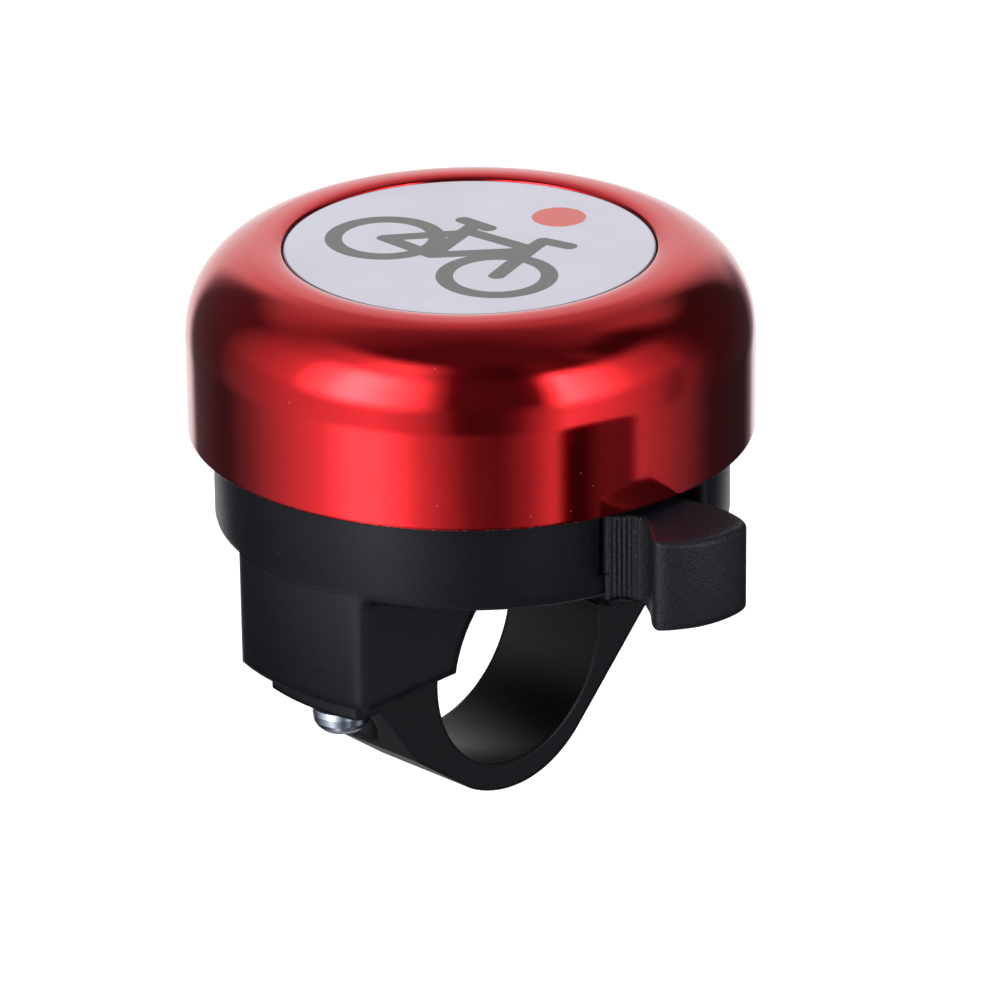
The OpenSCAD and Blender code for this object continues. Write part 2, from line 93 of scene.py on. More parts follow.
# ------------------------------------------------------------------ shader nodes
class Tree:
    """Builds the nodes of a material or world from Python expressions."""

    def __init__(self, owner, output_kind):
        owner.use_nodes = True
        self.nodes = owner.node_tree.nodes
        self.links = owner.node_tree.links
        self.nodes.clear()
        self.output = self.node(output_kind)

    def node(self, kind, inputs=None, **settings):
        node = self.nodes.new(kind)
        for key, value in settings.items():
            setattr(node, key, value)
        self.fill(node, inputs or {})
        return node

    def fill(self, node, inputs):
        for key, value in inputs.items():
            self.put(node.inputs[key], value)

    def put(self, socket, value):
        """Link a socket, or set a value; three-part colours get full alpha."""
        if isinstance(value, bpy.types.NodeSocket):
            self.links.new(value, socket)
            return
        if isinstance(value, tuple) and len(value) == 3 and len(socket.default_value) == 4:
            value = (*value, 1.0)
        socket.default_value = value

    def calc(self, operation, *values, clamp=False):
        return self.node("ShaderNodeMath", dict(enumerate(values)),
                         operation=operation, use_clamp=clamp).outputs[0]

    def add(self, a, b):
        return self.calc("ADD", a, b)

    def mul(self, a, b):
        return self.calc("MULTIPLY", a, b)

    def sub(self, a, b):
        return self.calc("SUBTRACT", a, b)

    def vector(self, operation, a, b):
        return self.node("ShaderNodeVectorMath", {0: a, 1: b}, operation=operation).outputs[0]

    def measure(self, operation, a, b):
        """A vector operation that gives a number."""
        node = self.node("ShaderNodeVectorMath", {0: a, 1: b}, operation=operation)
        return node.outputs["Value"]

    def stretch(self, vector, *scale):
        return self.vector("MULTIPLY", vector, scale)

    def split(self, vector):
        return self.node("ShaderNodeSeparateXYZ", {0: vector}).outputs

    def join(self, x, y, z):
        return self.node("ShaderNodeCombineXYZ", {0: x, 1: y, 2: z}).outputs[0]

    def ramp(self, value, over, to=(0.0, 1.0), kind="SMOOTHSTEP"):
        """Carry the range `over` onto the range `to`."""
        inputs = {"Value": value, "From Min": over[0], "From Max": over[1],
                  "To Min": to[0], "To Max": to[1]}
        return self.node("ShaderNodeMapRange", inputs, interpolation_type=kind).outputs[0]

    def mix(self, factor, a, b):
        # sockets 6 and 7 are the colours, output 2 the mixed colour
        return self.node("ShaderNodeMix", {0: factor, 6: a, 7: b}, data_type="RGBA").outputs[2]

    def mottle(self, noise, a, b, over=(0.3, 0.7)):
        """Two colours in soft patches."""
        return self.mix(self.ramp(noise, over), a, b)

    def noise(self, vector, scale, detail=2.0, rough=0.5):
        inputs = {"Vector": vector, "Scale": scale, "Detail": detail, "Roughness": rough}
        return self.node("ShaderNodeTexNoise", inputs).outputs[0]

    def cells(self, vector, scale, feature="F1"):
        """Distance to the nearest Voronoi point."""
        inputs = {"Vector": vector, "Scale": scale}
        return self.node("ShaderNodeTexVoronoi", inputs, feature=feature).outputs["Distance"]

    def specks(self, vector, scale, size, patch_scale, patch):
        """Small dots, present only where a coarser noise passes the `patch` range."""
        dots = self.ramp(self.cells(vector, scale), over=size, to=(1.0, 0.0))
        return self.mul(dots, self.ramp(self.noise(vector, patch_scale, detail=1.0), over=patch))

    def rounded(self, radius, samples=4):
        """Normal that shades sharp edges as if rounded."""
        return self.node("ShaderNodeBevel", {"Radius": radius * MM}, samples=samples).outputs[0]

    def bump(self, height, depth, normal=None):
        inputs = {"Strength": 1.0, "Distance": depth * MM, "Height": height}
        if normal is not None:
            inputs["Normal"] = normal
        return self.node("ShaderNodeBump", inputs).outputs[0]


def new_material(name):
    """The material, its tree, its surface shader and the object coordinates in millimetres."""
    material = bpy.data.materials.new(name)
    material.use_nodes = True
    tree = Tree(material, "ShaderNodeOutputMaterial")
    bsdf = tree.node("ShaderNodeBsdfPrincipled")
    tree.put(tree.output.inputs[0], bsdf.outputs[0])
    metres = tree.node("ShaderNodeTexCoord").outputs["Object"]
    return material, tree, bsdf, tree.stretch(metres, 1000.0, 1000.0, 1000.0)


def shade(colour, gain):
    return tuple(part * gain for part in colour)


# ------------------------------------------------------------------ materials
def red_anodised():
    material, tree, bsdf, mm = new_material("red_anodised")
    x, y, z = tree.split(mm)
    radius = tree.calc("SQRT", tree.add(tree.mul(x, x), tree.mul(y, y)))
    angle = tree.calc("ARCTAN2", y, x)
    # turning lines run round the bell: noise stretched along the circumference
    around, across = 1.2, 3.2
    turned = tree.join(tree.mul(angle, around), tree.mul(z, across), tree.mul(radius, across))
    lines = tree.noise(turned, scale=2.2, detail=6.0, rough=0.72)
    fine = tree.noise(tree.stretch(mm, 3.0, 3.0, 4.2), scale=1.6, detail=3.0, rough=0.6)
    broad = tree.noise(mm, scale=0.045, detail=3.0, rough=0.55)
    line_share, fine_share = 0.35, 0.65
    relief = tree.add(tree.mul(lines, line_share), tree.mul(fine, fine_share))
    speck = tree.specks(mm, scale=0.85, size=(0.045, 0.085), patch_scale=0.9, patch=(0.58, 0.66))
    # bare metal where the turned rim has been nicked
    near_rim = tree.ramp(z, over=(RIM_Z + 0.06, RIM_Z + 0.20), to=(1.0, 0.0))
    chips = tree.noise(mm, scale=2.6, detail=2.0, rough=0.6)
    nick = tree.mul(near_rim, tree.ramp(chips, over=(0.52, 0.62)))

    line_red, speck_pink, nick_metal = (0.50, 0.004, 0.008), (0.75, 0.25, 0.24), (0.85, 0.50, 0.48)
    line_tint, speck_tint, nick_tint = 0.5, 0.75, 0.8
    colour = tree.mottle(broad, (0.60, 0.0018, 0.0055), (0.68, 0.0035, 0.009))
    lined = tree.mix(line_tint, colour, line_red)
    colour = tree.mix(tree.ramp(lines, over=(0.25, 0.8)), colour, lined)
    colour = tree.mix(tree.mul(speck, speck_tint), colour, speck_pink)
    colour = tree.mix(tree.mul(nick, nick_tint), colour, nick_metal)

    speck_rough, nick_rough = 0.3, 0.2
    rough = tree.ramp(lines, over=(0.2, 0.8), to=(0.075, 0.125))
    rough = tree.add(rough, tree.mul(speck, speck_rough))
    rough = tree.add(rough, tree.mul(nick, nick_rough))
    tangent = tree.node("ShaderNodeTangent", direction_type="RADIAL", axis="Z")
    tree.fill(bsdf, {
        "Base Color": colour, "Metallic": 1.0, "Roughness": rough,
        "Normal": tree.bump(relief, depth=0.0052),
        "Anisotropic": 0.35, "Tangent": tangent.outputs[0],
        "Coat Weight": 0.75, "Coat IOR": 1.38,
        "Coat Roughness": tree.ramp(fine, over=(0.2, 0.8), to=(0.04, 0.09))})
    return material


def black_plastic(name, colour, rough, grain, grain_scale, edge, spec, mottling):
    """grain: texture depth; edge: shaded edge radius; mottling: gain of the paler grain."""
    material, tree, bsdf, mm = new_material(name)
    fine = tree.noise(mm, scale=grain_scale, detail=3.0, rough=0.6)
    broad = tree.noise(mm, scale=0.12, detail=4.0, rough=0.6)
    streaks = tree.noise(tree.stretch(mm, 0.7, 0.7, 6.0), scale=0.9)
    # spark-eroded mould texture: rounded pits a few tenths of a millimetre across
    pits = tree.ramp(tree.cells(mm, grain_scale * 1.15, "SMOOTH_F1"), over=(0.10, 0.62))
    fine_share, pit_share = 0.6, 0.4
    texture = tree.add(tree.mul(fine, fine_share), tree.mul(pits, pit_share))
    soft_normal = tree.rounded(edge, samples=8)
    # edges rubbed a little smoother and painted paler, partly wear and partly a painted highlight,
    # found where the rounding turns the normal
    true_normal = tree.node("ShaderNodeNewGeometry").outputs["Normal"]
    flatness = tree.measure("DOT_PRODUCT", soft_normal, true_normal)
    edge_patches = tree.noise(mm, scale=1.1, detail=3.0, rough=0.6)
    edge_wear_and_highlight = tree.mul(tree.ramp(flatness, over=(0.78, 0.93), to=(1.0, 0.0)),
                    tree.ramp(edge_patches, over=(0.35, 0.62), to=(0.25, 1.0)))
    dust = tree.specks(mm, scale=0.7, size=(0.03, 0.065), patch_scale=0.8, patch=(0.56, 0.66))

    dust_grey, edge_highlight_and_wear_grey = (0.11, 0.11, 0.115), (0.034, 0.035, 0.040)
    dust_tint, edge_highlight_and_wear_tint, worn_polish = 0.6, 0.35, 0.10
    tone = tree.mottle(broad, shade(colour, 0.86), shade(colour, 1.16))
    tone = tree.mottle(texture, tone, shade(colour, mottling), over=(0.36, 0.74))
    tone = tree.mix(tree.mul(dust, dust_tint), tone, dust_grey)
    # painted highlight with some wear: the rounded edges are mixed towards a paler grey
    tone = tree.mix(tree.mul(edge_wear_and_highlight, edge_highlight_and_wear_tint), tone, edge_highlight_and_wear_grey)
    gloss = tree.add(tree.ramp(fine, over=(0.25, 0.75), to=(rough - 0.05, rough + 0.06)),
                     tree.ramp(streaks, over=(0.6, 0.8), to=(0.0, 0.05)))
    tree.fill(bsdf, {
        "Base Color": tone, "Roughness": tree.sub(gloss, tree.mul(edge_wear_and_highlight, worn_polish)),
        "Normal": tree.bump(texture, depth=grain, normal=soft_normal),
        "Specular IOR Level": spec, "Specular Tint": (0.93, 0.95, 1.0)})
    return material


def bare_metal(name, colour, rough, tint=None):
    material, tree, bsdf, mm = new_material(name)
    lines = tree.noise(tree.stretch(mm, 1.0, 1.0, 7.0), scale=2.2, detail=4.0, rough=0.65)
    broad = tree.noise(mm, scale=0.35, detail=4.0, rough=0.6)
    tree.fill(bsdf, {
        "Base Color": tree.mottle(broad, colour, tint or shade(colour, 1.12), over=(0.35, 0.65)),
        "Metallic": 1.0,
        "Roughness": tree.ramp(lines, over=(0.2, 0.8), to=(rough - 0.04, rough + 0.08)),
        "Normal": tree.bump(lines, depth=0.0035, normal=tree.rounded(0.08))})
    return material


def natural_acetal():
    material, tree, bsdf, mm = new_material("natural_acetal")
    fine = tree.noise(mm, scale=3.0, detail=3.0, rough=0.6)
    broad = tree.noise(mm, scale=0.25, detail=3.0, rough=0.6)
    tree.fill(bsdf, {
        "Base Color": tree.mottle(broad, (0.76, 0.75, 0.69), (0.84, 0.83, 0.78)),
        "Roughness": tree.ramp(fine, over=(0.2, 0.8), to=(0.34, 0.46)),
        "Normal": tree.bump(fine, depth=0.003, normal=tree.rounded(0.06)),
        "Subsurface Weight": 0.15, "Subsurface Radius": (0.001, 0.0009, 0.0007),
        "Subsurface Scale": 0.6})
    return material


def printed_disc():
    """Grey bicycle pictogram and red dot on pale lilac, with a dark line at the rim that is painted
    shade of the gap round the disc.
    """
    material, tree, bsdf, mm = new_material("printed_disc")
    x, y, _ = tree.split(mm)
    flat = tree.join(x, y, 0.0)

    def distance(centre):
        return tree.measure("DISTANCE", flat, (*centre, 0))

    def wheel(centre, radius=4.9):
        return tree.calc("ABSOLUTE", tree.sub(distance(centre), radius))

    def stroke(start, end):
        """Distance to the straight stroke between two points."""
        along = (end[0] - start[0], end[1] - start[1], 0)
        offset = tree.vector("SUBTRACT", flat, (*start, 0))
        share = tree.calc("DIVIDE", tree.measure("DOT_PRODUCT", offset, along),
                          along[0] ** 2 + along[1] ** 2, clamp=True)
        foot = tree.node("ShaderNodeVectorMath", {0: along, "Scale": share}, operation="SCALE")
        return tree.measure("DISTANCE", offset, foot.outputs[0])

    # two wheels, then frame, saddle and bars
    rear, front, crank, saddle, head = (-7.3, -3.9), (7.3, -3.9), (-0.9, -4.1), (-3.2, 3.4), (4.7, 3.9)
    bar = (4.3, 5.6)
    strokes = [
        (rear, crank), (rear, (-2.75, 2.0)), (crank, saddle), (crank, (5.0, 2.8)),
        ((-2.9, 2.6), (4.8, 3.2)), (head, front), ((-5.1, 4.5), (-1.9, 4.5)),
        (saddle, (-3.5, 4.5)), (head, bar), (bar, (7.0, 6.2)),
    ]
    nearest = tree.calc("MINIMUM", wheel(rear), wheel(front))
    for start, end in strokes:
        nearest = tree.calc("MINIMUM", nearest, stroke(start, end))

    ink = tree.ramp(nearest, over=(0.78, 0.86), to=(1.0, 0.0))      # half the stroke's width
    dot = tree.ramp(distance((1.0, 11.2)), over=(2.55, 2.63), to=(1.0, 0.0))
    # painted shade: a dark ring at the disc's edge stands in for the shade in the gap round it
    rim = tree.ramp(distance((0, 0)), over=(17.36, 17.46))
    fine = tree.noise(mm, scale=5.0, detail=3.0, rough=0.6)
    broad = tree.noise(mm, scale=0.10, detail=3.0, rough=0.6)
    ground = tree.mottle(broad, (0.425, 0.415, 0.475), (0.46, 0.45, 0.51))
    grey = tree.mottle(fine, (0.048, 0.047, 0.046), (0.072, 0.070, 0.068))
    red = tree.mottle(fine, (0.44, 0.066, 0.055), (0.49, 0.080, 0.066))
    rim_shade_tint, rim_shade_colour = 0.85, (0.07, 0.035, 0.045)
    colour = tree.mix(dot, tree.mix(ink, ground, grey), red)
    tree.fill(bsdf, {
        "Base Color": tree.mix(tree.mul(rim, rim_shade_tint), colour, rim_shade_colour),
        "Roughness": tree.ramp(fine, over=(0.2, 0.8), to=(0.30, 0.36)),
        "Normal": tree.bump(fine, depth=0.0012),
        "Specular IOR Level": 0.35, "Coat Weight": 0.25, "Coat Roughness": 0.06})
    return material


MATERIALS = {
    "dome": red_anodised(),
    "label": printed_disc(),
    "base": black_plastic("black_housing", colour=(0.0034, 0.0035, 0.0056), rough=0.33, grain=0.008,
                          grain_scale=3.4, edge=1.50, spec=0.245, mottling=1.15),
    "strap": black_plastic("black_strap", colour=(0.0028, 0.0029, 0.0042), rough=0.35, grain=0.013,
                           grain_scale=3.6, edge=0.60, spec=0.23, mottling=1.2),
    "lever": black_plastic("black_lever", colour=(0.0054, 0.0055, 0.0076), rough=0.37, grain=0.060,
                           grain_scale=4.2, edge=0.12, spec=0.26, mottling=1.35),
    "zinc": bare_metal("blue_zinc", (0.56, 0.66, 0.80), rough=0.20, tint=(0.70, 0.76, 0.84)),
    "steel": bare_metal("turned_steel", (0.58, 0.58, 0.60), rough=0.24),
    "spring": bare_metal("spring_wire", (0.40, 0.39, 0.38), rough=0.28),
    "dark": bare_metal("phosphate", (0.09, 0.09, 0.10), rough=0.42),
    "pom": natural_acetal(),
}
LOOK = {
    "base_housing": "base", "thumb_lever": "lever", "clamp_strap": "strap",
    # painted shade: the washers take the dark phosphate finish so that they stand in for the shade
    # between the strap's ear and the screw head
    "clamp_screw": "zinc", "clamp_washer": "dark", "lock_washer": "dark", "clamp_nut": "zinc",
    "centre_post": "steel", "post_nut": "zinc", "rotor_washers": "steel", "rotor_clip": "dark",
    "rotor_gear": "pom", "striker_plate": "zinc", "striker_pins": "steel",
    "striker_ring_a": "zinc", "striker_ring_b": "zinc", "idler_gear": "pom",
    "idler_pin": "steel", "idler_clip": "dark", "lever_spring": "spring",
    "lever_washer": "steel", "lever_screw": "zinc", "dome_bush": "steel",
    "bell_dome": "dome", "label_disc": "label",
}
for name, piece in NODES.items():
    piece.data.materials.clear()
    piece.data.materials.append(MATERIALS[LOOK[name]])


# ------------------------------------------------------------------ mesh helpers
def install(mesh, look, body, node):
    """Put a finished mesh in the place of a CAD piece."""
    piece = bpy.data.objects.new(mesh.name, mesh)
    bpy.context.scene.collection.objects.link(piece)
    mesh.materials.append(MATERIALS[look])
    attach(piece, body)
    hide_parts(node)


def to_mesh(work, name):
    """Smooth-shaded mesh from a bmesh, which is freed."""
    for face in work.faces:
        face.smooth = True
    mesh = bpy.data.meshes.new(name)
    work.to_mesh(mesh)
    work.free()
    return mesh


def lathe(name, profile, segments, closed=True):
    """Solid of revolution about Z from (radius, z) points; radius 0 makes a pole."""
    work = bmesh.new()
    rings = []
    for radius, z in profile:
        turns = [2 * math.pi * i / segments for i in range(segments if radius else 1)]
        rings.append([work.verts.new((radius * MM * math.cos(turn), radius * MM * math.sin(turn),
                                      z * MM)) for turn in turns])
    pairs = list(zip(rings[:-1], rings[1:]))
    if closed:
        pairs.append((rings[-1], rings[0]))
    for first, second in pairs:
        for i in range(segments):
            j = (i + 1) % segments
            if len(first) == 1:
                work.faces.new((first[0], second[i], second[j]))
            elif len(second) == 1:
                work.faces.new((first[i], second[0], first[j]))
            else:
                work.faces.new((first[i], second[i], second[j], first[j]))
    bmesh.ops.recalc_face_normals(work, faces=work.faces)
    return to_mesh(work, name)


def arc(centre, radius, angles):
    return [(centre[0] + radius * math.cos(math.radians(angle)),
             centre[1] + radius * math.sin(math.radians(angle))) for angle in angles]


def divide(start, end, parts):
    return [(start[0] + (end[0] - start[0]) * i / parts,
             start[1] + (end[1] - start[1]) * i / parts) for i in range(parts + 1)]


def straight(start, end, step):
    """Points along a line, at least one step apart."""
    return divide(start, end, int(math.dist(start, end) / step))


# ------------------------------------------------------------------ dome
# small rolled edge round the recess: (radius, height above the rim)
ROLLED_EDGE = [
    (17.70, 17.58), (17.74, 17.68), (17.80, 17.74), (17.90, 17.795), (18.05, 17.86), (18.25, 17.925),
    (18.5, 17.98), (18.8, 18.015), (19.15, 18.03), (19.5, 18.02), (19.9, 17.985),
]


def shoulder(width, height, steps):
    """Superellipse quarter from the wall up and in to the recess."""
    points = []
    for i in range(steps + 1):
        angle = math.radians(90.0 * i / steps)
        points.append((RECESS_R + width * max(0, math.cos(angle)) ** (2 / SHOULDER_POWER),
                       SHOULDER_Z + height * math.sin(angle) ** (2 / SHOULDER_POWER)))
    return points


def dome_profile():
    """From the rim up the inside, through the centre hole and back down the outside."""
    inside_r = DOME_R - DOME_WALL
    rim_round = 0.16
    hole_r = 3.52
    outer = shoulder(DOME_R - RECESS_R, SHOULDER_H, steps=56)
    inner = shoulder(inside_r - RECESS_R, SHOULDER_H - DOME_WALL, steps=36)
    wall_foot = (DOME_R, RIM_Z + 1.2)
    ceiling_z, dimple_under = RECESS_Z - DOME_WALL, DIMPLE_Z - DOME_WALL
    # rim
    profile = [wall_foot, (DOME_R, RIM_Z + 0.40)]
    profile += arc((DOME_R - rim_round, RIM_Z + rim_round), rim_round, (0, -30, -60, -90))
    profile += [(DOME_R - 0.5, RIM_Z), (inside_r + 0.2, RIM_Z + 0.02)]
    # inside
    profile += straight((inside_r, RIM_Z + 0.2), inner[0], step=1.5)[:-1]
    profile += [point for point in inner if point[0] > RECESS_R + 1.1]
    profile += [(RECESS_R + 0.5, ceiling_z + 0.35)]
    profile += straight((RECESS_R + 0.1, ceiling_z), (6.6, ceiling_z), step=1.5)
    # dimple round the centre hole
    profile += [(5.9, dimple_under), (hole_r, dimple_under), (hole_r, DIMPLE_Z), (5.6, DIMPLE_Z)]
    # recess floor and wall
    profile += straight((6.3, RECESS_Z), (RECESS_R + 0.04, RECESS_Z), step=1.5)
    profile += [(RECESS_R + 0.05, RECESS_Z + 0.15), (RECESS_R + 0.05, LABEL_TOP - 0.12)]
    # rolled edge, shoulder and outer wall
    profile += [(radius, height + RIM_Z) for radius, height in ROLLED_EDGE]
    profile += [point for point in reversed(outer) if point[0] > 20.3]
    profile += straight(outer[0], wall_foot, step=1.0)[1:-1]
    return profile


install(lathe("bell_dome_skin", dome_profile(), segments=288),
        "dome", "housing", "bell_dome")


# ------------------------------------------------------------------ printed disc
def label_profile():
    """From the underside's centre out and over to the top's centre, which is slightly crowned."""
    corner = 0.13
    profile = [(0, RECESS_Z), (LABEL_R - 0.3, RECESS_Z), (LABEL_R, RECESS_Z + 0.02),
               (LABEL_R, LABEL_TOP - 0.16)]
    profile += arc((LABEL_R - corner, LABEL_TOP - corner), corner, (15, 35, 55, 75, 90))
    profile += [(LABEL_R - 0.5, LABEL_TOP + 0.005), (12, LABEL_TOP + 0.015),
                (6, LABEL_TOP + 0.02), (0, LABEL_TOP + 0.02)]
    return profile


install(lathe("label_skin", label_profile(), segments=192, closed=False),
        "label", "housing", "label_disc")

# ------------------------------------------------------------------ thumb lever
# outline of the tab seen from above, (x, y): hollow ribbed face on -Y, tip at +X, back on +Y
TAB = [
    (22.3, -6.62), (23.3, -6.74), (23.9, -6.62), (24.4, -6.27), (24.9, -5.8), (25.4, -5.4),
    (25.9, -5.16), (26.4, -5.08), (26.9, -5.17), (27.65, -5.56), (28.4, -6.08), (29.05, -6.61),
    (29.7, -7.17), (30.3, -7.75), (30.75, -8.15), (31.2, -8.42), (31.65, -8.5), (32.1, -8.36),
    (32.65, -7.98), (33.2, -7.4), (33.8, -6.55), (34.4, -5.5), (34.75, -4.6), (35.0, -3.7),
    (35.15, -2.65), (35.2, -1.6), (35.12, -0.6), (34.8, 0.3), (34.25, 0.82), (33.4, 1.18),
    (32.4, 1.42), (31.35, 1.62), (30.3, 1.7), (29.2, 1.55), (28.2, 1.3), (26.9, 1.1), (24.88, 1.05),
]
TAB_BOTTOM, TAB_TOP = 13.0, 21.7
STEP_Z = 15.67          # below this the root stays outside WALL_R
WALL_R = 24.92          # cylinder about Z that bounds the tab's root
ROOT_Y = -1.5           # where the root leaves that cylinder
TAB_CENTRE = (29.3, -2.7)
FACE_END_X = 29.4       # the ribbed face is sampled finely up to here
CUT_X = 22.5            # the CAD lever is kept up to here
TOP_EDGE = (0.34, 0.38)         # edge radius, and how much it grows towards +X
BOTTOM_EDGE = (0.40, 0.70)
EDGE_STEPS = 6
RIB_PITCH, RIB_HEIGHT, RIB_POWER = 0.46, 0.105, 0.8
RIB_START_X, RIB_END_X, RIB_FADE = 23.7, 28.9, 0.3
# rings that dish the top face: (share of the way to the centre, dip)
TOP_DISH = [(0.12, 0.05), (0.3, 0.15), (0.52, 0.22), (0.76, 0.255)]
CENTRE_DIP = 0.27


def clamp(value):
    return max(0.0, min(1.0, value))


def smooth_path(points, steps):
    """Catmull-Rom curve through the points."""
    curve = []
    for i in range(len(points) - 1):
        span = (points[max(i - 1, 0)], points[i], points[i + 1],
                points[min(i + 2, len(points) - 1)])
        for k in range(steps):
            u = k / steps
            curve.append(tuple(
                0.5 * (2 * start + (end - before) * u
                       + (2 * before - 5 * start + 4 * end - after) * u * u
                       + (3 * start - before - 3 * end + after) * u ** 3)
                for before, start, end, after in zip(*span)))
    curve.append(points[-1])
    return curve


def resample(points, step):
    """Points evenly spaced along a path."""
    spaced, need = [points[0]], step
    for start, end in zip(points[:-1], points[1:]):
        length = math.dist(start, end)
        done = 0.0
        while length - done >= need:
            done += need
            spaced.append((start[0] + (end[0] - start[0]) * done / length,
                           start[1] + (end[1] - start[1]) * done / length))
            need = step
        need -= length - done
    return spaced


def either_side(items, i, reach):
    return items[max(i - reach, 0)], items[min(i + reach, len(items) - 1)]


def window(items, i, reach):
    return items[max(0, i - reach):i + reach + 1]


def outward_normals(outline):
    normals = []
    for i in range(len(outline)):
        before, after = either_side(outline, i, 1)
        length = math.dist(before, after)
        normals.append(((after[1] - before[1]) / length, -(after[0] - before[0]) / length))
    return normals


def inset_limits(outline, normals):
    """How far the rounded edges may run in, from the outline's radius of curvature."""
    share, unlimited = 0.75, 9.0
    limits = []
    for i in range(len(outline)):
        before, after = either_side(normals, i, 3)
        turn = before[0] * after[1] - before[1] * after[0]
        length = math.dist(*either_side(outline, i, 3))
        limits.append(share * length / turn if turn > 1e-4 else unlimited)
    limits = [min(window(limits, i, 12)) for i in range(len(limits))]
    return [sum(window(limits, i, 8)) / len(window(limits, i, 8)) for i in range(len(limits))]


def rib_heights(outline, face_count):
    """Grip ribs, full height on the hollow face and fading at both ends."""
    heights, travelled = [], 0.0
    for i, point in enumerate(outline):
        if i:
            travelled += math.dist(point, outline[i - 1])
        fade = 0.0
        if i < face_count:
            fade = (clamp((point[0] - RIB_START_X) / RIB_FADE)
                    * clamp((RIB_END_X - point[0]) / RIB_FADE))
        wave = 0.5 + 0.5 * math.cos(2 * math.pi * travelled / RIB_PITCH)
        heights.append(fade * RIB_HEIGHT * wave ** RIB_POWER)
    return heights


def root_path():
    """From the outline's end round the wall and back to its start."""
    start = math.atan2(TAB[-1][1], TAB[-1][0])
    end = math.asin(ROOT_Y / WALL_R)
    turns = [start + (end - start) * i / 10 for i in range(1, 11)]
    path = [(WALL_R * math.cos(turn), WALL_R * math.sin(turn)) for turn in turns]
    corner = (TAB[0][0], ROOT_Y)
    path += divide((WALL_R * math.cos(end), ROOT_Y), corner, 5)[1:]
    path += divide(corner, TAB[0], 8)[1:-1]
    return path


curve = smooth_path(TAB, steps=24)
face_end = next(i for i, point in enumerate(curve) if point[0] > FACE_END_X)
ribbed_face = resample(curve[:face_end + 1], step=0.052)
OUTLINE = ribbed_face + resample(curve[face_end:], step=0.16)[1:]
NORMALS = outward_normals(OUTLINE)
LIMITS = inset_limits(OUTLINE, NORMALS)
RIBS = rib_heights(OUTLINE, len(ribbed_face))
ROOT = root_path()


def onto_wall(x, y):
    """Push a point inside the wall's cylinder out to it."""
    radius = math.hypot(x, y)
    return (x * WALL_R / radius, y * WALL_R / radius) if radius < WALL_R else (x, y)


def tab_ring(angle, edge, height_of, low=False):
    """Section round the tab, `angle` degrees up a rounded edge from side (0) to flat (90).

    height_of gives z from x and the distance left to the flat; ribs fade out towards the flat.
    """
    run_in = 1 - math.cos(math.radians(angle))
    run_up = 1 - math.sin(math.radians(angle))
    ribs = 1 - angle / 90
    spots = []
    for point, normal, limit, rib in zip(OUTLINE, NORMALS, LIMITS, RIBS):
        radius = edge[0] + edge[1] * max(0.0, normal[0]) ** 2
        inset = min(radius * run_in, limit) - rib * ribs
        spots.append((point[0] - normal[0] * inset, point[1] - normal[1] * inset,
                      min(radius, limit) * run_up))
    spots += [(x, y, edge[0] * run_up) for x, y in ROOT]
    ring = []
    for x, y, left in spots:
        if low:
            x, y = onto_wall(x, y)
        ring.append((x, y, height_of(x, left)))
    return ring


def above_bottom(x, rise):
    """The underside drops a little towards the tip."""
    tip_drop, drop_start_x, drop_length = 0.22, 29.5, 2.0
    return TAB_BOTTOM - tip_drop * clamp((x - drop_start_x) / drop_length) + rise


def tab_rings():
    shares = [k / EDGE_STEPS for k in range(EDGE_STEPS + 1)]
    rings = [tab_ring(90 * (1 - share), BOTTOM_EDGE, above_bottom, low=True) for share in shares]
    rings.append(tab_ring(0, BOTTOM_EDGE, lambda x, rise: STEP_Z, low=True))
    rings.append(tab_ring(0, BOTTOM_EDGE, lambda x, rise: STEP_Z + 0.001))
    rings += [tab_ring(90 * share, TOP_EDGE, lambda x, drop: TAB_TOP - drop) for share in shares]
    rim = rings[-1]
    for share, dip in TOP_DISH:
        rings.append([(x + (TAB_CENTRE[0] - x) * share, y + (TAB_CENTRE[1] - y) * share,
                       TAB_TOP - dip) for x, y, _ in rim])
    return rings


def cad_copy(node):
    """The CAD piece as a bmesh in world coordinates."""
    work = bmesh.new()
    work.from_mesh(NODES[node].data)
    work.transform(NODES[node].matrix_world)
    bmesh.ops.remove_doubles(work, verts=work.verts[:], dist=1e-6)
    return work


def build_lever():
    """The CAD lever with its tab cut off and a moulded one in its place."""
    work = cad_copy("thumb_lever")
    bmesh.ops.bisect_plane(work, geom=work.verts[:] + work.edges[:] + work.faces[:],
                           plane_co=(CUT_X * MM, 0, 0), plane_no=(1, 0, 0), clear_outer=True)
    bmesh.ops.holes_fill(work, edges=[e for e in work.edges if e.is_boundary], sides=0)
    for edge in work.edges:
        edge.smooth = len(edge.link_faces) != 2 or edge.calc_face_angle(0.0) < math.radians(28)

    def vertex(x, y, z):
        return work.verts.new((x * MM, y * MM, z * MM))

    rings = [[vertex(*point) for point in ring] for ring in tab_rings()]
    count = len(rings[0])
    faces = []
    for lower, upper in zip(rings[:-1], rings[1:]):
        for i in range(count):
            j = (i + 1) % count
            faces.append(work.faces.new((lower[i], lower[j], upper[j], upper[i])))
    top = vertex(*TAB_CENTRE, TAB_TOP - CENTRE_DIP)
    bottom = vertex(*TAB_CENTRE, TAB_BOTTOM - 0.02)
    for i in range(count):
        j = (i + 1) % count
        faces.append(work.faces.new((rings[-1][i], rings[-1][j], top)))
        faces.append(work.faces.new((rings[0][j], rings[0][i], bottom)))
    bmesh.ops.recalc_face_normals(work, faces=faces)
    tab_faces = set(faces)
    for edge in work.edges:
        if len(edge.link_faces) == 2 and edge.link_faces[0] in tab_faces:
            edge.smooth = edge.calc_face_angle(0.0) < math.radians(50)
    return to_mesh(work, "thumb_lever_skin")


install(build_lever(), "lever", "lever", "thumb_lever")

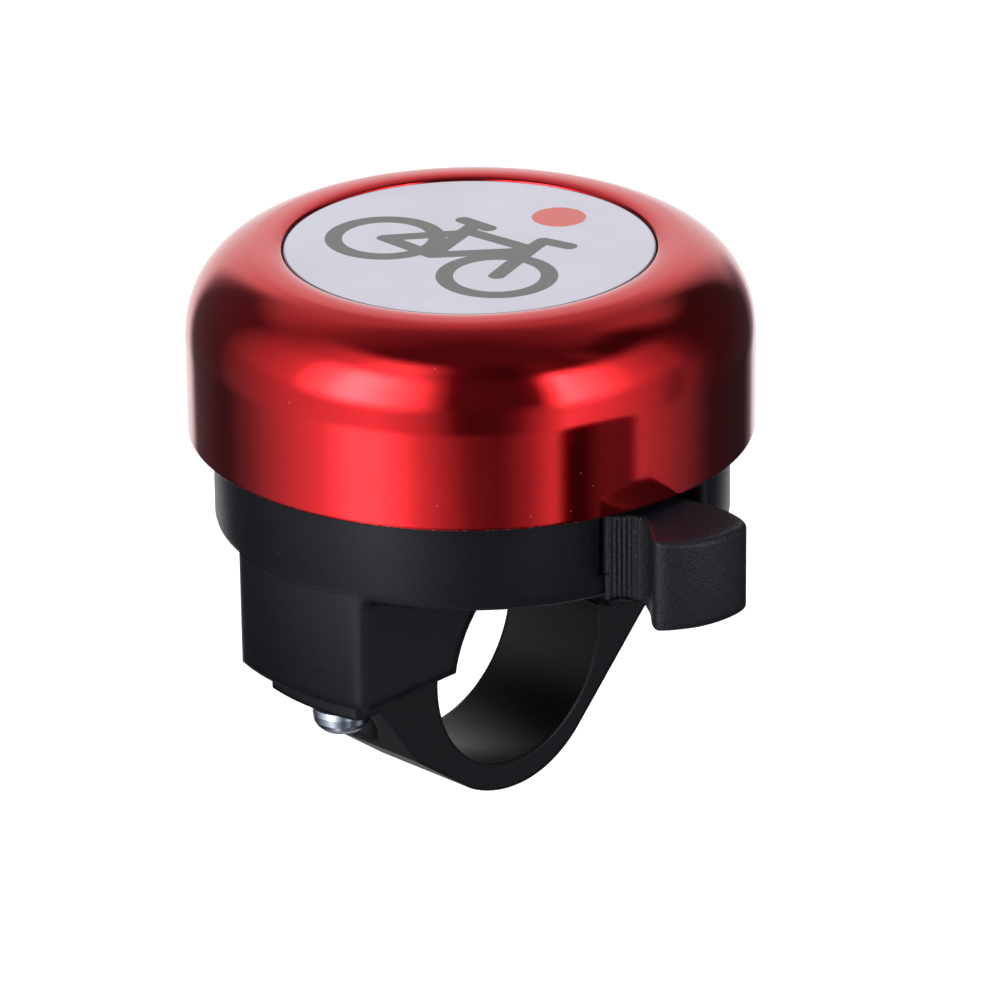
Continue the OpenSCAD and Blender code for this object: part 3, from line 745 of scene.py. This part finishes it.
# ------------------------------------------------------------------ housing
BLOCK_HALF_X = 8.25     # upright corners at this x, further out than BLOCK_MIN_Y, are rounded
BLOCK_MIN_Y = 12
BLOCK_ROUND = 0.9


def is_block_corner(edge):
    start, end = (vert.co / MM for vert in edge.verts)
    length, middle = (end - start).length, (start + end) / 2
    return (length > 2 and abs((end - start).z) > 0.98 * length
            and abs(abs(middle.x) - BLOCK_HALF_X) < 0.05 and abs(middle.y) > BLOCK_MIN_Y)


def build_housing():
    """The CAD housing with its block corners rounded."""
    work = cad_copy("base_housing")
    bmesh.ops.dissolve_limit(work, angle_limit=math.radians(0.6),
                             verts=work.verts[:], edges=work.edges[:])
    corners = [edge for edge in work.edges
               if len(edge.link_faces) == 2 and edge.is_convex
               and edge.calc_face_angle() > math.radians(40) and is_block_corner(edge)]
    # the material index marks the rounded faces until the mesh is rebuilt
    for face in work.faces:
        face.material_index = 0
    made = bmesh.ops.bevel(work, geom=corners, offset=BLOCK_ROUND * MM, offset_type="OFFSET",
                           segments=4, profile=0.5, affect="EDGES", clamp_overlap=False)
    for face in made["faces"]:
        face.material_index = 1
    bmesh.ops.triangulate(work, faces=work.faces[:])
    bmesh.ops.recalc_face_normals(work, faces=work.faces[:])
    work.verts.index_update()
    # rebuilt from bare points and triangles
    plain = bpy.data.meshes.new("plain")
    plain.from_pydata([tuple(vert.co) for vert in work.verts], [],
                      [[vert.index for vert in face.verts] for face in work.faces])
    is_round = [face.material_index == 1 for face in work.faces]
    work.free()
    work = bmesh.new()
    work.from_mesh(plain)
    bpy.data.meshes.remove(plain)
    work.faces.ensure_lookup_table()
    for edge in work.edges:
        # the flats keep their own normals, so that the rounding doesn't shade across them
        same = len({is_round[face.index] for face in edge.link_faces}) == 1
        edge.smooth = same and edge.calc_face_angle(0.0) < math.radians(32)
    return to_mesh(work, "base_housing_skin")


install(build_housing(), "base", "housing", "base_housing")


# ------------------------------------------------------------------ floor
def floor_paper():
    """Faintly glowing paper, clear from below."""
    material, tree, bsdf, mm = new_material("floor_paper")
    fibre = tree.noise(mm, scale=0.9, detail=4.0, rough=0.6)
    tree.fill(bsdf, {
        "Base Color": tree.mottle(fibre, (0.92, 0.92, 0.925), (0.94, 0.94, 0.945)),
        "Roughness": tree.ramp(fibre, over=(0.3, 0.7), to=(0.82, 0.9)),
        "Normal": tree.bump(fibre, depth=0.01), "Specular IOR Level": 0.1,
        "Emission Color": (1, 1, 1), "Emission Strength": 0.22})
    from_below = tree.node("ShaderNodeNewGeometry").outputs["Backfacing"]
    clear = tree.node("ShaderNodeBsdfTransparent")
    mixed = tree.node("ShaderNodeMixShader", {0: from_below, 1: bsdf.outputs[0], 2: clear.outputs[0]})
    tree.put(tree.output.inputs[0], mixed.outputs[0])
    return material


FLOOR_SIZE, FLOOR_GAP = 60.0, 0.060     # metres; the gap is below the CAD pieces
bpy.ops.mesh.primitive_plane_add(size=FLOOR_SIZE, location=(0, 0, cad_low.z - FLOOR_GAP))
floor = bpy.context.object
floor.name = "studio_floor"
floor.data.materials.append(floor_paper())
floor.visible_glossy = False

# ------------------------------------------------------------------ world
# Two soft boxes either side of the camera with a dark gap between them, at four heights.
# Stops are (azimuth, light level): 0 degrees is towards the camera, positive to its right.
LOW = [
    (-180, 1.0), (-156, .95), (-148, .1), (-122, .06), (-114, .07), (-100, .25), (-84, .62),
    (-61, 1.3), (-48, 3.0), (-38, 3.0), (-22, 1.15), (-12, .66), (-1, .26), (11, .17), (24, .5),
    (33, 1.1), (44, 1.25), (61, 1.15), (76, .62), (95, .30), (106, .12), (114, .05), (146, .03),
    (154, .2), (160, .9), (180, 1.0),
]
MIDDLE = [
    (-180, 1.0), (-154, .95), (-146, .1), (-118, .09), (-104, .28), (-88, .54), (-59, 1.15),
    (-39, 1.5), (-20, .85), (-12, .45), (-6, .14), (0, .09), (12, .1), (19, .22), (30, .8),
    (38, 1.6), (50, 1.3), (75, .62), (87, .25), (95, .3), (106, .1), (114, .055), (148, .05),
    (156, .3), (162, .9), (180, 1.0),
]
EYE = [
    (-180, 1.0), (-156, .9), (-149, .25), (-144, .1), (-117, .11), (-104, .38), (-90, .65),
    (-76, 1.0), (-62, 3.6), (-53, 8.5), (-48, 10.0), (-39, 7.5), (-29, 3.9), (-21, 2.1),
    (-14, .75), (-8, .12), (0, .12), (20, .1), (27, .14), (33, 1.7), (39, 7.0), (47, 4.6),
    (59, 2.1), (70, 1.0), (82, .6), (91, .42), (98, .16), (108, .07), (144, .045), (152, .5),
    (160, .9), (180, 1.0),
]
HIGH = [
    (-180, .72), (-154, .66), (-134, .5), (-120, .38), (-108, .34), (-95, .46), (-80, .75),
    (-62, 1.2), (-50, 1.9), (-36, 2.2), (-25, 1.5), (-16, .6), (-8, .13), (0, .09), (22, .05),
    (38, .2), (46, .16), (54, .1), (66, .22), (76, .07), (105, .055), (114, .19), (124, .48),
    (145, .43), (162, .66), (180, .72),
]
TOP_LEVEL = 10.0        # brightest stop; the colour ramps hold levels as shares of it


def horizon(sky, azimuth, stops):
    """Light level round the horizon."""
    share = sky.calc("DIVIDE", sky.sub(azimuth, -180.0), 360.0, clamp=True)
    node = sky.node("ShaderNodeValToRGB", {0: share})
    elements = node.color_ramp.elements
    for i, (angle, level) in enumerate(stops):
        place = (angle + 180.0) / 360.0
        if i == 0:
            element = elements[0]
        elif i == len(stops) - 1:
            element = elements[-1]
        else:
            element = elements.new(place)
        element.position = place
        element.color = (*[level / TOP_LEVEL] * 3, 1.0)
    red = sky.node("ShaderNodeSeparateColor", {0: node.outputs[0]}).outputs[0]
    return sky.mul(red, TOP_LEVEL)


def blend(sky, share, a, b):
    return sky.add(sky.mul(a, sky.sub(1.0, share)), sky.mul(b, share))


def table_edge(sky, azimuth, elevation):
    """Dark patch low on the right, the edge of the table top: 1 inside, 0 outside."""
    centre, half_width, base, height = 52.6, 17.2, -22.5, 4.6      # degrees
    side_power, top_power = 3.0, 2.5
    aside = sky.calc("DIVIDE", sky.calc("ABSOLUTE", sky.sub(azimuth, centre)), half_width)
    above = sky.calc("DIVIDE", sky.calc("MAXIMUM", sky.add(elevation, -base), 0.0), height)
    reach = sky.add(sky.calc("POWER", aside, side_power), sky.calc("POWER", above, top_power))
    return sky.ramp(reach, over=(0.45, 1.45), to=(1.0, 0.0))


def studio_level(sky, azimuth, elevation):
    """Light level in every direction, as reflections see it."""
    level = horizon(sky, azimuth, LOW)
    for stops, band in ((MIDDLE, (-21.8, -17.0)), (EYE, (-2, 12)), (HIGH, (32, 47))):
        level = blend(sky, sky.ramp(elevation, over=band), level, horizon(sky, azimuth, stops))
    zenith = sky.ramp(elevation, over=(64, 84), to=(.30, .13), kind="LINEAR")
    behind_level = .12
    behind = sky.ramp(sky.calc("ABSOLUTE", azimuth), over=(60, 120))
    zenith = blend(sky, behind, behind_level, zenith)
    level = blend(sky, sky.ramp(elevation, over=(53, 66)), level, zenith)
    depth = sky.ramp(azimuth, over=(44, 55), to=(0.98, 0.84))
    patch = table_edge(sky, azimuth, elevation)
    level = sky.mul(level, sky.sub(1.0, sky.mul(patch, depth)))
    # black table top below
    return sky.mul(level, sky.ramp(elevation, over=(-36, -26.5), to=(0.30, 1.0)))


def build_world():
    world = bpy.data.worlds.new("studio")
    bpy.context.scene.world = world
    sky = Tree(world, "ShaderNodeOutputWorld")
    direction = sky.node("ShaderNodeTexCoord").outputs["Generated"]
    right = sky.measure("DOT_PRODUCT", direction, LEVEL_RIGHT)
    near = sky.measure("DOT_PRODUCT", direction, TO_CAMERA)
    _, _, up = sky.split(direction)
    degrees = 180 / math.pi
    azimuth = sky.mul(sky.calc("ARCTAN2", right, near), degrees)
    elevation = sky.mul(sky.calc("ARCSINE", up), degrees)

    def background(colour, strength):
        inputs = {"Color": colour, "Strength": strength}
        return sky.node("ShaderNodeBackground", inputs).outputs[0]

    def choose(share, a, b):
        return sky.node("ShaderNodeMixShader", {0: share, 1: a, 2: b}).outputs[0]

    level = studio_level(sky, azimuth, elevation)
    tint = sky.mottle(level, (0.93, 0.95, 1.06), (1.0, 1.0, 1.0), over=(0.05, 0.6))
    # matt surfaces see an even dome of light, so that the boxes only shape the reflections
    even = background((0.97, 0.98, 1.03), sky.ramp(elevation, over=(-40, 50), to=(0.20, 0.38)))
    backdrop = background((0.97, 0.97, 0.975), 1.0)
    ray = sky.node("ShaderNodeLightPath").outputs
    lighting = choose(ray["Is Diffuse Ray"], background(tint, level), even)
    sky.put(sky.output.inputs[0], choose(ray["Is Camera Ray"], lighting, backdrop))


build_world()


# ------------------------------------------------------------------ lights, in metres
def disk_light(name, place, size, power, target=(0, 0, 0.01)):
    light = bpy.data.lights.new(name, "AREA")
    light.shape = "DISK"
    light.size = size
    light.energy = power
    lamp = bpy.data.objects.new(name, light)
    bpy.context.scene.collection.objects.link(lamp)
    lamp.location = place
    lamp.rotation_mode = "QUATERNION"
    lamp.rotation_quaternion = (Vector(target) - place).to_track_quat("-Z", "Y")
    lamp.visible_glossy = False
    lamp.visible_camera = False


def front(right, near, height):
    return right * LEVEL_RIGHT + near * TO_CAMERA + Vector((0, 0, height))


disk_light("overhead", Vector((0.05, 0.05, 1.0)), size=1.1, power=6.6)
disk_light("front_left", front(right=-0.62, near=0.62, height=0.45), size=0.5, power=1.0)
disk_light("front_right", front(right=0.62, near=0.62, height=0.35), size=0.4, power=0.6)

# ------------------------------------------------------------------ camera
# the dome's rim centre sits this far right of, above and beyond the camera
AIM_RIGHT, AIM_UP, AIM_AWAY = -2.70, 7.68, 650.0
lens = bpy.data.cameras.new("camera")
lens.lens = 246.1
lens.sensor_width = 36.0
lens.clip_start = 0.01
lens.clip_end = 100
camera = bpy.data.objects.new("camera", lens)
bpy.context.scene.collection.objects.link(camera)
place = Vector((0, 0, RIM_Z)) - (AIM_RIGHT * RIGHT + AIM_UP * UP + AIM_AWAY * FORWARD)
turn = Matrix((RIGHT, UP, -FORWARD)).transposed()
camera.matrix_world = Matrix.Translation(place * MM) @ turn.to_4x4()
bpy.context.scene.camera = camera
bpy.context.scene.view_settings.view_transform = "Standard"
